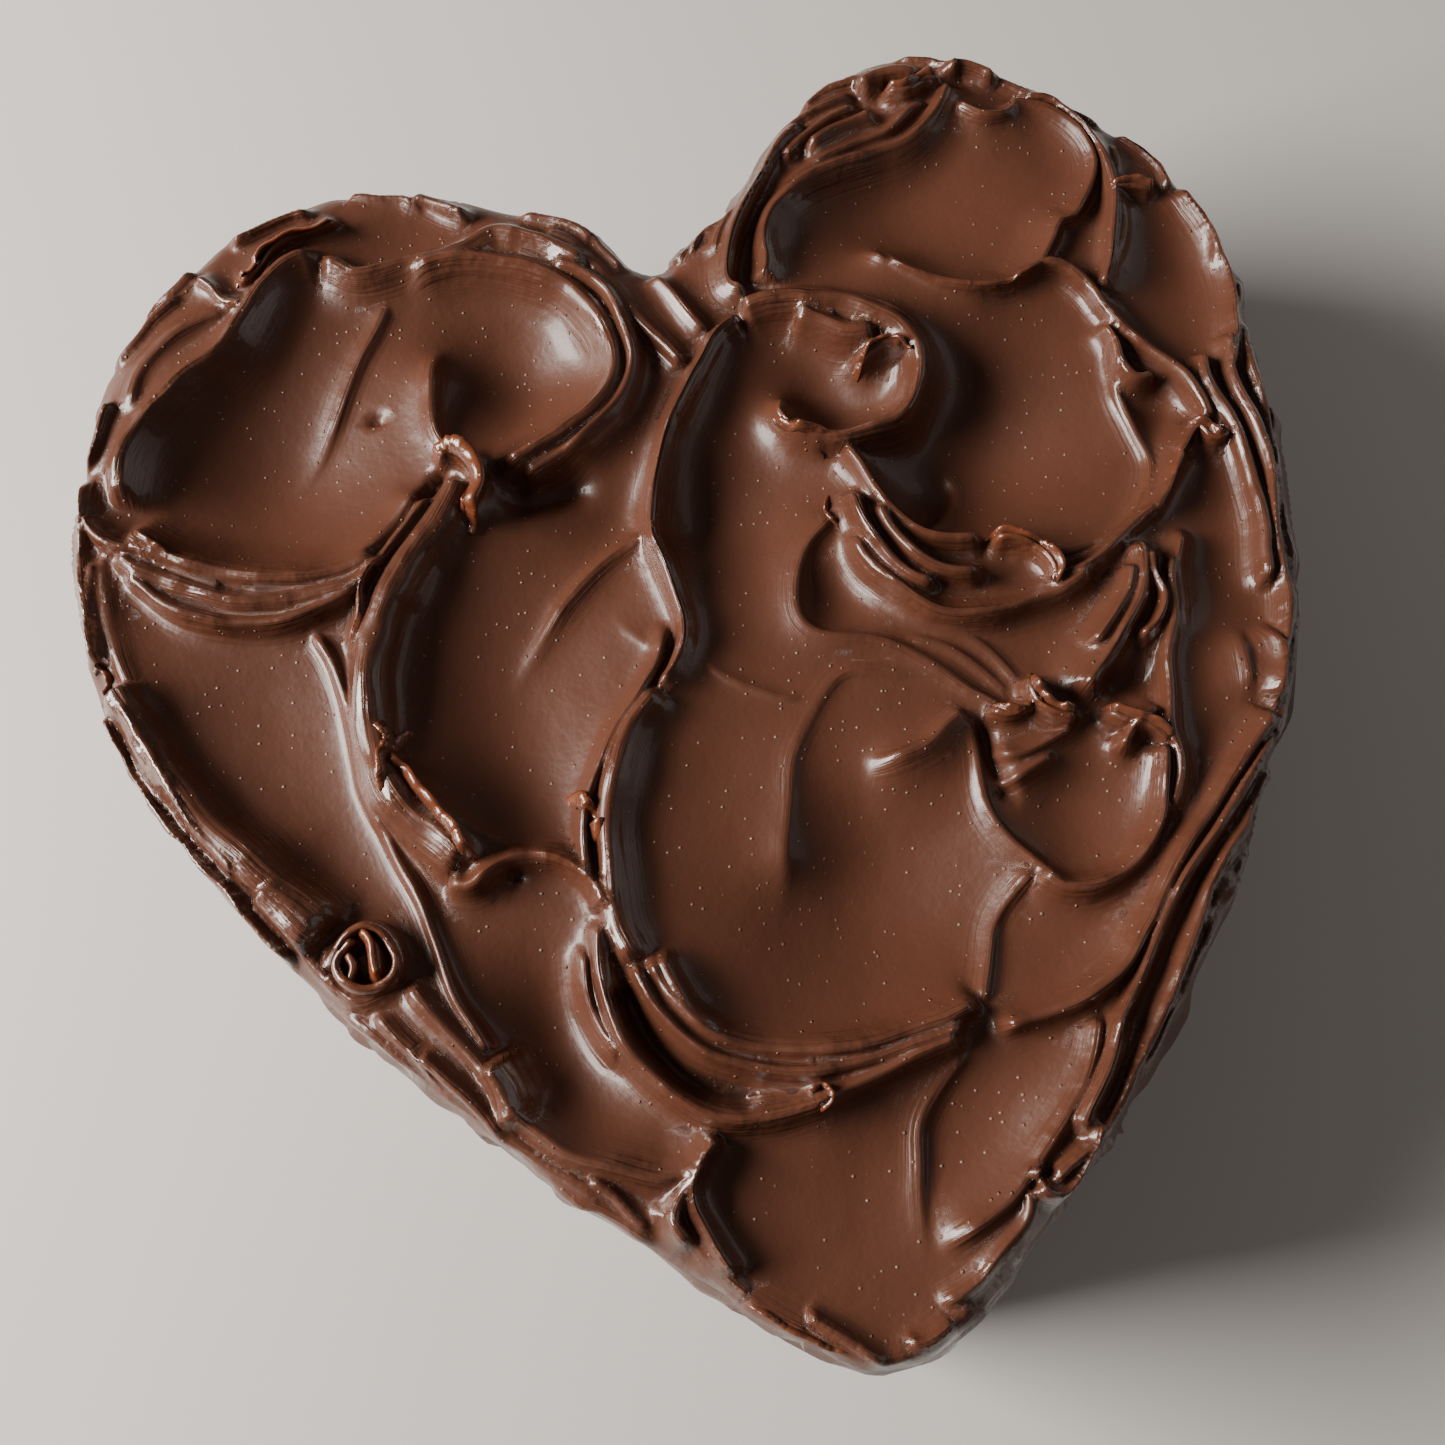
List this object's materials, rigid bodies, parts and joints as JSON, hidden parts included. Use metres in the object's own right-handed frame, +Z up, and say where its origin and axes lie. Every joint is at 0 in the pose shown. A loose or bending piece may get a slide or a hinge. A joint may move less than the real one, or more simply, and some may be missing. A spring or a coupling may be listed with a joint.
{
  "type": "heart-shaped chocolate cake",
  "caption": "Whole heart-shaped layer cake under thick glossy chocolate icing, its top swirled into deep bowls and folded ridges and its wall swept in shallow bands.",
  "frame": {"origin": "on the ground, under the middle of the cake's box", "axes": "+Z up, +Y from the heart's tip towards the notch between its lobes, +X to the right lobe as seen from above with the tip nearest"},
  "size_m": [0.241, 0.2574, 0.0799],
  "materials": {
    "chocolate_icing": "soft glossy chocolate icing, dark brown, with a wet sheen on its ridges and fine bubbles and crumbs"
  },
  "bodies": {
    "root": {"frosted_cake": "chocolate_icing"}
  },
  "joints": []
}
